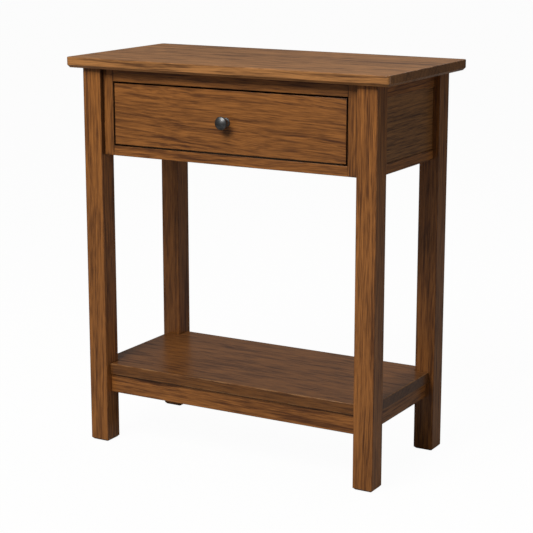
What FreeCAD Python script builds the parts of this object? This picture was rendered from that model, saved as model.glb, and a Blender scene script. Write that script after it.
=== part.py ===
"""Side table with one drawer and a low shelf, in millimetres.

The frame: +Z up, the drawer opens towards -Y, and the origin is on the floor at the middle of the table.
Left and right are as seen from the front, so the right side is +X.
"""

import FreeCAD, Part
import math
import os

os.makedirs("parts", exist_ok=True)
V = FreeCAD.Vector
X_AXIS, Y_AXIS, Z_AXIS = V(1, 0, 0), V(0, 1, 0), V(0, 0, 1)

# ---------------------------------------------------------------- driving dimensions

TABLE_HEIGHT = 762
TOP_WIDTH = 680
TOP_DEPTH = 336
TOP_THICKNESS = 20
TOP_CORNER_R = 8
TOP_ARRIS_R = 1.5
TOP_BEVEL = 5

FRAME_WIDTH = 622
FRAME_DEPTH = 306
LEG = 40
LEG_ARRIS_R = 1.5
FOOT_CHAMFER = 3.5
GLIDE_THICKNESS = 2
GLIDE_R = 11

APRON_BOTTOM = 577
STOCK = 18
FRONT_RECESS = 10
SIDE_RECESS = 12
BOTTOM_RAIL_HEIGHT = 19
TOP_RAIL_HEIGHT = 24
SIDE_TOP_RAIL_HEIGHT = 28
STILE_WIDTH = 22
PANEL_THICKNESS = 12
PANEL_INSET = 2
PANEL_TONGUE = 6
TENON_THICKNESS = 8
TENON_LENGTH = 18
BACK_TENON_LENGTH = 14
TENON_OFFSET = 5
DOWEL_R = 4
DOWEL_BITE = 12

SHELF_TOP = 161
SHELF_THICKNESS = 21
SHELF_RECESS = 11
SHELF_NOTCH_GAP = 1.5
SHELF_ARRIS_R = 1.5
SHELF_SCREW_X = 150
SHELF_SCREW_BITE = 14
STRETCHER_RECESS = 16
LONG_STRETCHER_HEIGHT = 38
SIDE_STRETCHER_HEIGHT = 30
STRETCHER_SHOULDER = 3
STRETCHER_TENON = 14

DRAWER_GAP = 3
DRAWER_ARRIS_R = 1
DRAWER_FRONT_THICKNESS = 19
DRAWER_SIDE_THICKNESS = 12
DRAWER_SIDE_DROP = 3
DRAWER_BACK_DROP = 7
DRAWER_LENGTH = 253
BOTTOM_THICKNESS = 5
BOTTOM_HEIGHT = 7
BOTTOM_GROOVE = 6
TAILS = 4
TAIL_SLOPE = 1 / 6
TAIL_GAP = 2.5
LAP = 6

SLIDE_PLAY = 0.2
GUIDE_PLAY = 0.6
RUNNER_WIDTH = 51
RUNNER_THICKNESS = 19
GUIDE_WIDTH = 20
GUIDE_HEIGHT = 16
STUB = 4
BEARER_SCREW_Y = (-90, 0, 90)
TOP_RAIL_SCREW_X = 130
STOP_X = (170, 205)
STOP_Z = (640, 672)

KNOB_HEAD_R = 12.5
KNOB_PROJECTION = 24
KNOB_ROSE_R = 8.5
KNOB_NECK_R = 4.75
KNOB_SCREW_R = 2

BUTTON_LENGTH = 56
BUTTON_WIDTH = 16
BUTTON_THICKNESS = 6
BUTTON_PIVOT_Z = 690
BUTTON_GAP = 0.3
BUTTON_SCREW_R = 2

SCREW_PLAY = 0.05
SCREW_R = 2
SCREW_HEAD_R = 4
COUNTERBORE = 30
TOP_SCREW_LENGTH = 30
TOP_SCREW_SINK = 8
SHELF_SCREW_LENGTH = 32
GUIDE_SCREW_LENGTH = 28
BOTTOM_SCREW_LENGTH = 20
BOTTOM_SCREW_X = (-150, 0, 150)

# ---------------------------------------------------------------- planes worked out from them

HALF_WIDTH = FRAME_WIDTH / 2
HALF_DEPTH = FRAME_DEPTH / 2
LEG_IN_X = HALF_WIDTH - LEG
LEG_IN_Y = HALF_DEPTH - LEG
TOP_UNDERSIDE = TABLE_HEIGHT - TOP_THICKNESS

FACE_FRONT = -HALF_DEPTH + FRONT_RECESS
FACE_BACK = FACE_FRONT + STOCK
OPENING_HALF = LEG_IN_X - STILE_WIDTH
OPENING_BOTTOM = APRON_BOTTOM + BOTTOM_RAIL_HEIGHT
OPENING_TOP = TOP_UNDERSIDE - TOP_RAIL_HEIGHT

SIDE_OUT = HALF_WIDTH - SIDE_RECESS
SIDE_IN = SIDE_OUT - STOCK
SIDE_TENON = (SIDE_IN + TENON_OFFSET, SIDE_IN + TENON_OFFSET + TENON_THICKNESS)
PANEL_TOP = TOP_UNDERSIDE - SIDE_TOP_RAIL_HEIGHT
PANEL_OUT = SIDE_OUT - PANEL_INSET
PANEL_IN = PANEL_OUT - PANEL_THICKNESS
TONGUE = (PANEL_OUT - 3 - PANEL_TONGUE, PANEL_OUT - 3)

BACK_OUT = HALF_DEPTH - SIDE_RECESS
BACK_IN = BACK_OUT - STOCK
BACK_TENON = (BACK_IN + TENON_OFFSET, BACK_IN + TENON_OFFSET + TENON_THICKNESS)

SHELF_UNDERSIDE = SHELF_TOP - SHELF_THICKNESS

DRAWER_HALF = OPENING_HALF - DRAWER_GAP
DRAWER_BOTTOM_EDGE = OPENING_BOTTOM + DRAWER_GAP
DRAWER_TOP_EDGE = OPENING_TOP - DRAWER_GAP
DRAWER_FRONT_BACK = FACE_FRONT + DRAWER_FRONT_THICKNESS
DRAWER_REAR = FACE_FRONT + DRAWER_LENGTH
DRAWER_BACK_FRONT = DRAWER_REAR - DRAWER_SIDE_THICKNESS
DRAWER_SIDE_IN = DRAWER_HALF - DRAWER_SIDE_THICKNESS
SIDE_TOP_EDGE = DRAWER_TOP_EDGE - DRAWER_SIDE_DROP
PANEL_LEVEL = DRAWER_BOTTOM_EDGE + BOTTOM_HEIGHT
BACK_BOTTOM_EDGE = PANEL_LEVEL + BOTTOM_THICKNESS
KNOB_Z = (DRAWER_BOTTOM_EDGE + DRAWER_TOP_EDGE) / 2

RUNNER_TOP = DRAWER_BOTTOM_EDGE - SLIDE_PLAY
RUNNER_BOTTOM = RUNNER_TOP - RUNNER_THICKNESS
RUNNER_IN = SIDE_IN - RUNNER_WIDTH
GUIDE_IN = DRAWER_HALF + GUIDE_PLAY

# ---------------------------------------------------------------- shape helpers


def block(x0, x1, y0, y1, z0, z1):
    """A plain board between six planes, given in either order."""
    low = V(min(x0, x1), min(y0, y1), min(z0, z1))
    high = V(max(x0, x1), max(y0, y1), max(z0, z1))
    return Part.makeBox(high.x - low.x, high.y - low.y, high.z - low.z, low)


def rod(radius, start, axis, length):
    """A round bar from start, along axis."""
    return Part.makeCylinder(radius, length, start, axis)


def upright_edges(shape):
    """The straight edges that run straight up."""
    found = []
    for edge in shape.Edges:
        run = edge.Vertexes[-1].Point - edge.Vertexes[0].Point
        if run.Length > 0 and abs(run.z) / run.Length > 0.999:
            found.append(edge)
    return found


def mirrored(shape):
    """The same piece for the other side of the table."""
    return shape.mirror(V(0, 0, 0), X_AXIS)


def prism(points, direction):
    """A flat outline pushed along direction."""
    wire = Part.makePolygon([V(*p) for p in points] + [V(*points[0])])
    return Part.Face(wire).extrude(direction)


def turned(profile, base, axis):
    """A lathe-turned solid: profile is (radius, distance along axis) points from the base to the tip."""
    points = [V(0, 0, profile[0][1])] + [V(r, 0, h) for r, h in profile]
    if profile[-1][0] > 0:
        points.append(V(0, 0, profile[-1][1]))
    solid = Part.Face(Part.makePolygon(points + [points[0]])).revolve(V(0, 0, 0), Z_AXIS, 360)
    solid.Placement = FreeCAD.Placement(base, FreeCAD.Rotation(Z_AXIS, axis))
    return solid


def wood_screw(head_face, axis, length, shank_r=SCREW_R, head_r=SCREW_HEAD_R):
    """A countersunk wood screw with a cross slot. axis points from the head's flat face to the tip."""
    head_h = head_r - shank_r
    tip_h = 2 * shank_r
    profile = [(head_r, 0), (head_r, 0.4), (shank_r, head_h + 0.4), (shank_r, length - tip_h), (0, length)]
    screw = turned(profile, head_face, axis)
    slot_w, slot_l, slot_d = 0.9, head_r * 1.1, 1.2
    for turn in (0, 90):
        bar = Part.makeBox(slot_l, slot_w, slot_d, V(-slot_l / 2, -slot_w / 2, 0))
        bar.rotate(V(0, 0, 0), Z_AXIS, turn)
        bar.Placement = FreeCAD.Placement(head_face, FreeCAD.Rotation(Z_AXIS, axis)).multiply(bar.Placement)
        screw = screw.cut(bar)
    return screw


def screw_hole(head_face, axis, length, shank_r=SCREW_R, head_r=SCREW_HEAD_R):
    """The hole that wood_screw sits in, open from the head's flat face outwards."""
    head_h = head_r - shank_r
    play = SCREW_PLAY
    profile = [
        (head_r + play, -COUNTERBORE),
        (head_r + play, 0.4),
        (shank_r + play, head_h + 0.4),
        (shank_r + play, length + play),
    ]
    return turned(profile, head_face, axis)


def save(name, *solids):
    """Writes one named piece. Several solids are like fasteners that share a name."""
    shape = solids[0] if len(solids) == 1 else Part.makeCompound(list(solids))
    for solid in solids:
        if len(solid.Solids) != 1 or not solid.isValid():
            raise ValueError(f"{name} is not one valid solid: {len(solid.Solids)}")
    if len(solids) == 1:
        shape = shape.Solids[0]
    shape.exportStep(f"parts/{name}.step")
    print(f"{name}: {sum(s.Volume for s in solids) / 1000:.1f} cm3")


def screw_row(places, axis, length, **sizes):
    """The screws at these places, and the holes to cut for them."""
    screws = [wood_screw(place, axis, length, **sizes) for place in places]
    holes = [screw_hole(place, axis, length, **sizes) for place in places]
    return screws, holes


# ---------------------------------------------------------------- table top


def make_top():
    """A glued-up board with rounded corners, a bevel under its edge and an eased upper arris."""
    top = block(-TOP_WIDTH / 2, TOP_WIDTH / 2, -TOP_DEPTH / 2, TOP_DEPTH / 2, TOP_UNDERSIDE, TABLE_HEIGHT)
    top = top.makeFillet(TOP_CORNER_R, upright_edges(top))
    under = [e for e in top.Edges if abs(e.BoundBox.ZMax - TOP_UNDERSIDE) < 0.01]
    top = top.makeChamfer(TOP_BEVEL, under)
    upper = [e for e in top.Edges if abs(e.BoundBox.ZMin - TABLE_HEIGHT) < 0.01]
    return top.makeFillet(TOP_ARRIS_R, upper)


# ---------------------------------------------------------------- legs


def make_leg(side_x, side_y):
    """One square leg, with eased arrises and a chamfer round the foot."""
    x0, x1 = side_x * LEG_IN_X, side_x * HALF_WIDTH
    y0, y1 = side_y * LEG_IN_Y, side_y * HALF_DEPTH
    post = block(x0, x1, y0, y1, GLIDE_THICKNESS, TOP_UNDERSIDE)
    foot = [e for e in post.Edges if abs(e.BoundBox.ZMax - GLIDE_THICKNESS) < 0.01]
    eased = post.makeFillet(LEG_ARRIS_R, upright_edges(post))
    return eased.common(post.makeChamfer(FOOT_CHAMFER, foot))


def leg_centre(side_x, side_y):
    """The middle of a leg, seen from above."""
    return V(side_x * (HALF_WIDTH - LEG / 2), side_y * (HALF_DEPTH - LEG / 2), 0)


CORNERS = {
    "front_left": (-1, -1),
    "front_right": (1, -1),
    "back_left": (-1, 1),
    "back_right": (1, 1),
}

# ---------------------------------------------------------------- face frame


def make_front_rail(low, high):
    """A rail that butts between the stiles."""
    return block(-OPENING_HALF, OPENING_HALF, FACE_FRONT, FACE_BACK, low, high)


def make_stile():
    """The right-hand stile, glued to the inner face of the front leg."""
    return block(OPENING_HALF, LEG_IN_X, FACE_FRONT, FACE_BACK, APRON_BOTTOM, TOP_UNDERSIDE)


def frame_dowels(play):
    """One dowel through each stile, from the rail's end into the leg."""
    middle = (FACE_FRONT + FACE_BACK) / 2
    levels = (APRON_BOTTOM + BOTTOM_RAIL_HEIGHT / 2, TOP_UNDERSIDE - TOP_RAIL_HEIGHT / 2)
    length = STILE_WIDTH + 2 * DOWEL_BITE
    dowels = []
    for level in levels:
        for side in (-1, 1):
            start = V(side * (OPENING_HALF - DOWEL_BITE), middle, level)
            dowels.append(rod(DOWEL_R + play, start, V(side, 0, 0), length + play))
    return dowels


# ---------------------------------------------------------------- sides and back


def make_side_rail(low, high, shoulder_low, shoulder_high):
    """A right-hand side rail between the legs, with a tenon at each end that clears the panel's groove."""
    rail = block(SIDE_IN, SIDE_OUT, -LEG_IN_Y, LEG_IN_Y, low, high)
    reach = LEG_IN_Y + TENON_LENGTH
    tenon = block(*SIDE_TENON, -reach, reach, low + shoulder_low, high - shoulder_high)
    return rail.fuse(tenon).removeSplitter()


def make_side_panel():
    """The right-hand panel: a flat board whose tongue floats in the grooves of the rails and legs."""
    panel = block(PANEL_IN, PANEL_OUT, -LEG_IN_Y, LEG_IN_Y, OPENING_BOTTOM, PANEL_TOP)
    grow = PANEL_TONGUE - 1
    tongue = block(*TONGUE, -LEG_IN_Y - grow, LEG_IN_Y + grow, OPENING_BOTTOM - grow, PANEL_TOP + grow)
    return panel.fuse(tongue).removeSplitter()


def panel_groove():
    """The groove all round that takes the panel's tongue."""
    reach = LEG_IN_Y + PANEL_TONGUE
    return block(*TONGUE, -reach, reach, OPENING_BOTTOM - PANEL_TONGUE, PANEL_TOP + PANEL_TONGUE)


def make_back_apron():
    """One board across the back, with two tenons at each end."""
    board = block(-LEG_IN_X, LEG_IN_X, BACK_IN, BACK_OUT, APRON_BOTTOM, TOP_UNDERSIDE)
    reach = LEG_IN_X + BACK_TENON_LENGTH
    shoulder, tenon_height = 8, 40
    for low in (APRON_BOTTOM + shoulder, TOP_UNDERSIDE - shoulder - tenon_height):
        board = board.fuse(block(-reach, reach, *BACK_TENON, low, low + tenon_height))
    return board.removeSplitter()


# ---------------------------------------------------------------- drawer runners, guides and kickers


def make_bearer(low, high):
    """A flat rail from the face frame to the back apron, notched round both right-hand legs.

    A runner is one of these under the drawer side, and a kicker is one above it.
    """
    bearer = block(RUNNER_IN, SIDE_IN, FACE_BACK, BACK_IN, low, high)
    stub_x = (RUNNER_IN + 2, OPENING_HALF - 1)
    stub_z = ((low + high) / 2 - STUB, (low + high) / 2 + STUB)
    bearer = bearer.fuse(block(*stub_x, FACE_BACK - STUB, BACK_IN + STUB, *stub_z))
    for side_y in (-1, 1):
        leg_space = block(LEG_IN_X, HALF_WIDTH, side_y * LEG_IN_Y, side_y * HALF_DEPTH, low, high)
        bearer = bearer.cut(leg_space)
    return bearer.removeSplitter()


def make_guide():
    """A strip on top of the right-hand runner that keeps the drawer from moving sideways."""
    return block(GUIDE_IN, GUIDE_IN + GUIDE_WIDTH, FACE_BACK, BACK_IN, RUNNER_TOP, RUNNER_TOP + GUIDE_HEIGHT)


def guide_screw_places(side):
    """Three screws down through each guide into its runner."""
    x = side * (GUIDE_IN + GUIDE_WIDTH / 2)
    return [V(x, y, RUNNER_TOP + GUIDE_HEIGHT) for y in BEARER_SCREW_Y]


def top_screw_places():
    """Screws up into the top: three through each kicker and two through the top rail."""
    level = OPENING_TOP + TOP_SCREW_SINK
    x = RUNNER_IN + RUNNER_WIDTH * 0.6
    places = [V(side * x, y, level) for side in (-1, 1) for y in BEARER_SCREW_Y]
    rail_middle = (FACE_FRONT + FACE_BACK) / 2
    return places + [V(side * TOP_RAIL_SCREW_X, rail_middle, level) for side in (-1, 1)]


def make_stop():
    """The right-hand block, glued to the back apron, that the closed drawer meets."""
    return block(*STOP_X, DRAWER_REAR + SLIDE_PLAY, BACK_IN, *STOP_Z)


# ---------------------------------------------------------------- shelf


def make_shelf():
    """The shelf board, notched round the four legs and eased along its upper edges."""
    half_x, half_y = HALF_WIDTH - SHELF_RECESS, HALF_DEPTH - SHELF_RECESS
    shelf = block(-half_x, half_x, -half_y, half_y, SHELF_UNDERSIDE, SHELF_TOP)
    for side_x, side_y in CORNERS.values():
        notch_x, notch_y = LEG_IN_X - SHELF_NOTCH_GAP, LEG_IN_Y - SHELF_NOTCH_GAP
        notch = block(side_x * notch_x, side_x * HALF_WIDTH, side_y * notch_y, side_y * HALF_DEPTH,
                      SHELF_UNDERSIDE, SHELF_TOP)
        shelf = shelf.cut(notch)

    def on_rim(edge):
        middle = edge.CenterOfMass
        at_rim = abs(abs(middle.x) - half_x) < 0.01 or abs(abs(middle.y) - half_y) < 0.01
        return at_rim and edge.BoundBox.ZLength < 0.01 and edge.Length > 2 * LEG

    return shelf.makeFillet(SHELF_ARRIS_R, [e for e in shelf.Edges if on_rim(e)])


def make_long_stretcher(side_y):
    """A stretcher under the front or back edge of the shelf, tenoned low into the legs."""
    y_out = side_y * (HALF_DEPTH - STRETCHER_RECESS)
    y_in = y_out - side_y * STOCK
    low = SHELF_UNDERSIDE - LONG_STRETCHER_HEIGHT
    body = block(-LEG_IN_X, LEG_IN_X, y_out, y_in, low, SHELF_UNDERSIDE)
    reach = LEG_IN_X + TENON_LENGTH
    y0 = y_out - side_y * TENON_OFFSET
    low_tenon = low + STRETCHER_SHOULDER
    tenon = block(-reach, reach, y0, y0 - side_y * TENON_THICKNESS, low_tenon, low_tenon + STRETCHER_TENON)
    return body.fuse(tenon).removeSplitter()


def make_side_stretcher():
    """The right-hand stretcher, shallower, and tenoned high so that its tenons pass over the others."""
    x_out = HALF_WIDTH - STRETCHER_RECESS
    x_in = x_out - STOCK
    body = block(x_in, x_out, -LEG_IN_Y, LEG_IN_Y, SHELF_UNDERSIDE - SIDE_STRETCHER_HEIGHT, SHELF_UNDERSIDE)
    reach = LEG_IN_Y + TENON_LENGTH
    x0 = x_in + TENON_OFFSET
    high_tenon = SHELF_UNDERSIDE - STRETCHER_SHOULDER
    tenon = block(x0, x0 + TENON_THICKNESS, -reach, reach, high_tenon - STRETCHER_TENON, high_tenon)
    return body.fuse(tenon).removeSplitter()


def shelf_screw_places():
    """Sunk screws up through the stretchers: two in each long one and one in each side one."""
    y = HALF_DEPTH - STRETCHER_RECESS - STOCK / 2
    x = HALF_WIDTH - STRETCHER_RECESS - STOCK / 2
    level = SHELF_UNDERSIDE + SHELF_SCREW_BITE - SHELF_SCREW_LENGTH
    places = [V(sx * SHELF_SCREW_X, sy * y, level) for sx in (-1, 1) for sy in (-1, 1)]
    return places + [V(sx * x, 0, level) for sx in (-1, 1)]


# ---------------------------------------------------------------- drawer


def make_drawer_front():
    """A solid board with an eased edge round its face, grooved for the bottom."""
    levels = (DRAWER_BOTTOM_EDGE, DRAWER_TOP_EDGE)
    front = block(-DRAWER_HALF, DRAWER_HALF, FACE_FRONT, DRAWER_FRONT_BACK, *levels)
    face = [e for e in front.Edges if abs(e.BoundBox.YMax - FACE_FRONT) < 0.01]
    return front.makeFillet(DRAWER_ARRIS_R, face)


def tail(end_y, shoulder_y, middle_z, half):
    """One dovetail, wide at the board's end and narrow at its shoulder."""
    narrow = half - abs(end_y - shoulder_y) * TAIL_SLOPE
    outline = [
        (DRAWER_SIDE_IN, end_y, middle_z - half),
        (DRAWER_SIDE_IN, end_y, middle_z + half),
        (DRAWER_SIDE_IN, shoulder_y, middle_z + narrow),
        (DRAWER_SIDE_IN, shoulder_y, middle_z - narrow),
    ]
    return prism(outline, V(DRAWER_SIDE_THICKNESS, 0, 0))


def make_drawer_side():
    """The right-hand side, with dovetails at both ends and a groove for the bottom."""
    levels = (DRAWER_BOTTOM_EDGE, SIDE_TOP_EDGE)
    side = block(DRAWER_SIDE_IN, DRAWER_HALF, DRAWER_FRONT_BACK, DRAWER_BACK_FRONT, *levels)
    pitch = (SIDE_TOP_EDGE - DRAWER_BOTTOM_EDGE) / TAILS
    ends = ((FACE_FRONT + LAP, DRAWER_FRONT_BACK), (DRAWER_REAR, DRAWER_BACK_FRONT))
    for end_y, shoulder_y in ends:
        for i in range(TAILS):
            middle_z = DRAWER_BOTTOM_EDGE + (i + 0.5) * pitch
            side = side.fuse(tail(end_y, shoulder_y, middle_z, pitch / 2 - TAIL_GAP))
    return side.removeSplitter().cut(bottom_groove())


def bottom_groove():
    """The slot that the drawer's bottom slides into, open at the back."""
    half = DRAWER_SIDE_IN + BOTTOM_GROOVE
    return block(-half, half, DRAWER_FRONT_BACK - BOTTOM_GROOVE, DRAWER_REAR, PANEL_LEVEL, BACK_BOTTOM_EDGE)


def make_drawer_bottom():
    """A thin plywood panel in the grooves, passing under the drawer back."""
    play = 0.5
    half = DRAWER_SIDE_IN + BOTTOM_GROOVE - play
    front = DRAWER_FRONT_BACK - BOTTOM_GROOVE + play
    return block(-half, half, front, DRAWER_REAR, PANEL_LEVEL, BACK_BOTTOM_EDGE)


def make_drawer_back():
    """The back board between the sides; the dovetails of both sides cut its pins."""
    top_edge = DRAWER_TOP_EDGE - DRAWER_BACK_DROP
    return block(-DRAWER_HALF, DRAWER_HALF, DRAWER_BACK_FRONT, DRAWER_REAR, BACK_BOTTOM_EDGE, top_edge)


def bottom_screw_places():
    """Three screws up through the bottom into the drawer back."""
    y = (DRAWER_BACK_FRONT + DRAWER_REAR) / 2
    return [V(x, y, PANEL_LEVEL) for x in BOTTOM_SCREW_X]


# ---------------------------------------------------------------- knob and turn button


def make_knob():
    """A turned mushroom knob: a rose, a waisted neck and a domed head."""
    head_back, rim = KNOB_PROJECTION - 8.5, 4.2
    rose, neck = 2.0, 5.0
    dome_rise = KNOB_PROJECTION - head_back - rim
    points = [V(0, 0, 0), V(KNOB_ROSE_R, 0, 0), V(KNOB_ROSE_R, 0, rose)]
    edges = [Part.LineSegment(points[0], points[1]), Part.LineSegment(points[1], points[2])]
    waist = V(KNOB_NECK_R, 0, (neck + head_back) / 2)
    edges.append(Part.Arc(points[2], V(KNOB_NECK_R + 0.9, 0, neck), waist))
    under_rim = V(KNOB_HEAD_R - 0.8, 0, head_back)
    edges.append(Part.Arc(waist, V(KNOB_NECK_R + 1.4, 0, head_back - 2.2), under_rim))
    rim_top = V(KNOB_HEAD_R - 0.4, 0, head_back + rim)
    edges.append(Part.Arc(under_rim, V(KNOB_HEAD_R, 0, head_back + rim * 0.45), rim_top))
    tip = V(0, 0, KNOB_PROJECTION)
    # the dome is an arc of a circle that meets the axis square on
    reach = rim_top.x
    radius = (reach ** 2 + dome_rise ** 2) / (2 * dome_rise)
    turn = math.asin(reach / radius) / 2
    on_dome = V(radius * math.sin(turn), 0, KNOB_PROJECTION - radius * (1 - math.cos(turn)))
    edges.append(Part.Arc(rim_top, on_dome, tip))
    edges.append(Part.LineSegment(tip, points[0]))
    profile = Part.Face(Part.Wire([e.toShape() for e in edges]))
    knob = profile.revolve(V(0, 0, 0), Z_AXIS, 360)
    knob.Placement = FreeCAD.Placement(V(0, FACE_FRONT, KNOB_Z), FreeCAD.Rotation(Z_AXIS, V(0, -1, 0)))
    return knob


def knob_screw(play):
    """The machine screw from inside the drawer, through the front and into the knob."""
    head_h, head_r, into_knob = 2.4, 4, 11
    start = V(0, DRAWER_FRONT_BACK, KNOB_Z)
    shank = rod(KNOB_SCREW_R + play, start, V(0, -1, 0), DRAWER_FRONT_THICKNESS + into_knob + play)
    head = rod(head_r, start, Y_AXIS, head_h)
    rim = [e for e in head.Edges if abs(e.CenterOfMass.y - start.y - head_h) < 0.01 and e.Length > head_r]
    head = head.makeFillet(1, rim)
    screw = head.fuse(shank)
    for turn in (0, 90):
        slot = Part.makeBox(4.2, 1.4, 0.9, V(-2.1, start.y + head_h - 1.4, KNOB_Z - 0.45))
        slot.rotate(start, Y_AXIS, turn)
        screw = screw.cut(slot)
    return screw


def make_turn_button():
    """A round-ended wooden catch that stands up behind the top rail and swings level to free the drawer."""
    half = BUTTON_WIDTH / 2
    y0 = DRAWER_BACK_FRONT - BUTTON_GAP - BUTTON_THICKNESS
    low = V(0, y0, BUTTON_PIVOT_Z)
    high = V(0, y0, BUTTON_PIVOT_Z + BUTTON_LENGTH - BUTTON_WIDTH)
    button = block(-half, half, y0, y0 + BUTTON_THICKNESS, low.z, high.z)
    for end in (low, high):
        button = button.fuse(rod(half, end, Y_AXIS, BUTTON_THICKNESS))
    hole = rod(BUTTON_SCREW_R + 0.1, low, Y_AXIS, BUTTON_THICKNESS)
    return button.removeSplitter().cut(hole)


def turn_button_screw():
    """A round-head screw that the button turns on, driven into the drawer back."""
    head_h, head_r, bite = 2.2, 4, 9
    grip = BUTTON_THICKNESS + 2 * BUTTON_GAP
    face = DRAWER_BACK_FRONT - grip
    shank = rod(BUTTON_SCREW_R, V(0, face, BUTTON_PIVOT_Z), Y_AXIS, grip + bite)
    head = rod(head_r, V(0, face, BUTTON_PIVOT_Z), V(0, -1, 0), head_h)
    rim = [e for e in head.Edges if abs(e.CenterOfMass.y - face + head_h) < 0.01 and e.Length > head_r]
    head = head.makeFillet(1.2, rim)
    slot_half = 0.5
    levels = (BUTTON_PIVOT_Z - slot_half, BUTTON_PIVOT_Z + slot_half)
    slot = block(-head_r, head_r, face - head_h, face - head_h + 1, *levels)
    return head.fuse(shank).cut(slot)


# ---------------------------------------------------------------- glides


def make_glide(centre):
    """A round plastic glide under a foot."""
    glide = rod(GLIDE_R, centre, Z_AXIS, GLIDE_THICKNESS)
    rim = [e for e in glide.Edges if e.BoundBox.ZMax < 0.01 and e.Length > GLIDE_R]
    return glide.makeChamfer(0.5, rim)


def glide_nail(centre, play):
    """The nail moulded into a glide and driven into the leg."""
    head_low, length, radius = 0.8, 16, 1.1
    profile = [(4, head_low), (4, head_low + 0.6), (radius + play, head_low + 0.6)]
    profile += [(radius + play, length - 2), (0.2, length + play)]
    return turned(profile, centre, Z_AXIS)


# ---------------------------------------------------------------- assembly

top_places = top_screw_places()
shelf_places = shelf_screw_places()
top_screws, top_holes = screw_row(top_places, Z_AXIS, TOP_SCREW_LENGTH)
shelf_screws, shelf_holes = screw_row(shelf_places, Z_AXIS, SHELF_SCREW_LENGTH)
guide_places = guide_screw_places(-1) + guide_screw_places(1)
guide_sizes = {"shank_r": 1.75, "head_r": 3.5}
bottom_sizes = {"shank_r": 1.5, "head_r": 3}
guide_screws, guide_holes = screw_row(guide_places, V(0, 0, -1), GUIDE_SCREW_LENGTH, **guide_sizes)
bottom_places = bottom_screw_places()
bottom_screws, bottom_holes = screw_row(bottom_places, Z_AXIS, BOTTOM_SCREW_LENGTH, **bottom_sizes)

save("table_top", make_top().cut(Part.makeCompound(top_holes)))
save("top_screws", *top_screws)

dowel_holes = Part.makeCompound(frame_dowels(SCREW_PLAY))
rail_bottom = make_front_rail(APRON_BOTTOM, OPENING_BOTTOM)
rail_top = make_front_rail(OPENING_TOP, TOP_UNDERSIDE)
stile = make_stile()

runner = make_bearer(RUNNER_BOTTOM, RUNNER_TOP)
kicker = make_bearer(OPENING_TOP, TOP_UNDERSIDE)
both_runners = Part.makeCompound([runner, mirrored(runner)])
both_kickers = Part.makeCompound([kicker, mirrored(kicker)])

save("front_top_rail", rail_top.cut(dowel_holes).cut(both_kickers).cut(Part.makeCompound(top_holes)))
save("front_bottom_rail", rail_bottom.cut(dowel_holes).cut(both_runners))
save("face_frame_dowels", *frame_dowels(0))

side_lower = make_side_rail(APRON_BOTTOM, OPENING_BOTTOM, shoulder_low=2, shoulder_high=PANEL_TONGUE + 1)
side_upper = make_side_rail(PANEL_TOP, TOP_UNDERSIDE, shoulder_low=PANEL_TONGUE + 2, shoulder_high=6)
panel = make_side_panel()
groove = panel_groove()
side_stretcher = make_side_stretcher()
guide = make_guide()
stop = make_stop()
drawer_side = make_drawer_side()

back_apron = make_back_apron()
long_stretchers = {"front": make_long_stretcher(-1), "back": make_long_stretcher(1)}
save("back_apron", back_apron.cut(both_runners).cut(both_kickers))

for side_name, place in (("right", lambda s: s), ("left", mirrored)):
    save(f"front_stile_{side_name}", place(stile).cut(dowel_holes))
    save(f"side_rail_lower_{side_name}", place(side_lower.cut(groove)))
    save(f"side_rail_upper_{side_name}", place(side_upper.cut(groove)))
    save(f"side_panel_{side_name}", place(panel))
    save(f"drawer_runner_{side_name}", place(runner).cut(Part.makeCompound(guide_holes)))
    save(f"drawer_guide_{side_name}", place(guide).cut(Part.makeCompound(guide_holes)))
    save(f"drawer_kicker_{side_name}", place(kicker).cut(Part.makeCompound(top_holes)))
    save(f"drawer_stop_{side_name}", place(stop))
    save(f"drawer_side_{side_name}", place(drawer_side))
    save(f"stretcher_{side_name}", place(side_stretcher).cut(Part.makeCompound(shelf_holes)))
save("guide_screws", *guide_screws)

joinery = [dowel_holes, back_apron, *long_stretchers.values()]
for piece in (groove, side_lower, side_upper, side_stretcher):
    joinery += [piece, mirrored(piece)]

for corner, (side_x, side_y) in CORNERS.items():
    leg = make_leg(side_x, side_y)
    for piece in joinery:
        leg = leg.cut(piece)
    save(f"leg_{corner}", leg.cut(glide_nail(leg_centre(side_x, side_y), SCREW_PLAY)))

centres = [leg_centre(*corner) for corner in CORNERS.values()]
save("foot_glides", *[make_glide(c).cut(glide_nail(c, 0)) for c in centres])
save("glide_nails", *[glide_nail(c, 0) for c in centres])

save("shelf_board", make_shelf().cut(Part.makeCompound(shelf_holes)))
for name, stretcher in long_stretchers.items():
    save(f"stretcher_{name}", stretcher.cut(Part.makeCompound(shelf_holes)))
save("shelf_screws", *shelf_screws)

both_sides = Part.makeCompound([drawer_side, mirrored(drawer_side)])
front_board = make_drawer_front().cut(both_sides).cut(bottom_groove())
save("drawer_front", front_board.cut(knob_screw(SCREW_PLAY)))
back_board = make_drawer_back().cut(both_sides).cut(turn_button_screw())
save("drawer_back", back_board.cut(Part.makeCompound(bottom_holes)))
save("drawer_bottom", make_drawer_bottom().cut(Part.makeCompound(bottom_holes)))
save("drawer_bottom_screws", *bottom_screws)

save("knob", make_knob().cut(knob_screw(SCREW_PLAY)))
save("knob_screw", knob_screw(0))
save("turn_button", make_turn_button())
save("turn_button_screw", turn_button_screw())
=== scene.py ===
import math

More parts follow.
